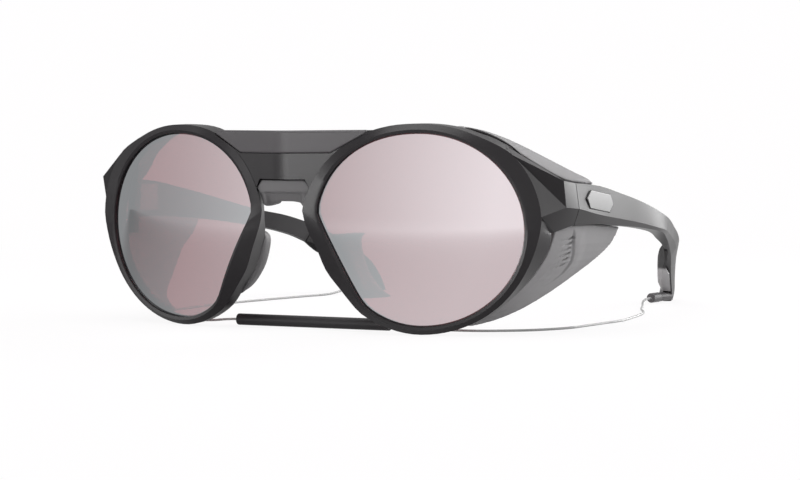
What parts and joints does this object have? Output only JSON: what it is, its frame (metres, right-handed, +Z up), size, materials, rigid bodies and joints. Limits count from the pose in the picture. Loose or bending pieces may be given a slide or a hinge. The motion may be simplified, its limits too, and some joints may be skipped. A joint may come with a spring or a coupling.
{
  "type": "glacier glasses",
  "caption": "Wrap-around sunglasses with mirror lenses, louvred side shields, hinged ear-hook arms and a thin leash joined by a rubber sleeve.",
  "frame": {"origin": "middle of the glasses' footprint on the surface they stand on, measured without the leash", "axes": "+Z up from the surface, +Y from the lenses back along the arms, +X to the wearer's left"},
  "size_m": [0.1484, 0.1545, 0.0561],
  "materials": {
    "frame_nylon": "satin black nylon",
    "bar_nylon": "grey rubberised nylon",
    "mirror_lens": "silver-pink mirror coat, partly see-through",
    "dark_rubber": "matt black rubber",
    "shield_rubber": "soft grey rubber",
    "steel": "brushed",
    "sock_rubber": "light grey soft rubber",
    "connector_plastic": "smooth dark plastic",
    "cable_sheath": "grey sheath over thin steel cable"
  },
  "bodies": {
    "front": {"frame_front": "frame_nylon", "brow_bar": "bar_nylon", "lens_left": "mirror_lens", "lens_right": "mirror_lens", "nose_saddle": "dark_rubber", "nose_pad_left": "dark_rubber", "nose_pad_right": "dark_rubber", "side_shield_left": "shield_rubber", "side_shield_right": "shield_rubber", "hinge_leaf_front_left": "steel", "hinge_leaf_front_right": "steel", "hinge_screw_left": "steel", "hinge_screw_right": "steel", "leash_cable_left": "cable_sheath", "leash_cable_right": "cable_sheath", "leash_sleeve": "dark_rubber"},
    "temple_left": {"temple_left": "frame_nylon", "hinge_leaf_temple_left": "steel", "temple_badge_left": "steel", "ear_sock_left": "sock_rubber", "leash_connector_left": "connector_plastic", "leash_collar_left": "dark_rubber", "leash_end_left": "cable_sheath"},
    "temple_right": {"temple_right": "frame_nylon", "hinge_leaf_temple_right": "steel", "temple_badge_right": "steel", "ear_sock_right": "sock_rubber", "leash_connector_right": "connector_plastic", "leash_collar_right": "dark_rubber", "leash_end_right": "cable_sheath"}
  },
  "joints": [
    {"name": "temple_left_hinge", "type": "hinge", "parent": "front", "child": "temple_left", "pos_m": [0.0702, -0.0454, 0.03445], "axis": [0, 0, 1], "range_deg": [0, 80]},
    {"name": "temple_right_hinge", "type": "hinge", "parent": "front", "child": "temple_right", "pos_m": [-0.0702, -0.0454, 0.03445], "axis": [0, 0, -1], "range_deg": [0, 75]}
  ]
}
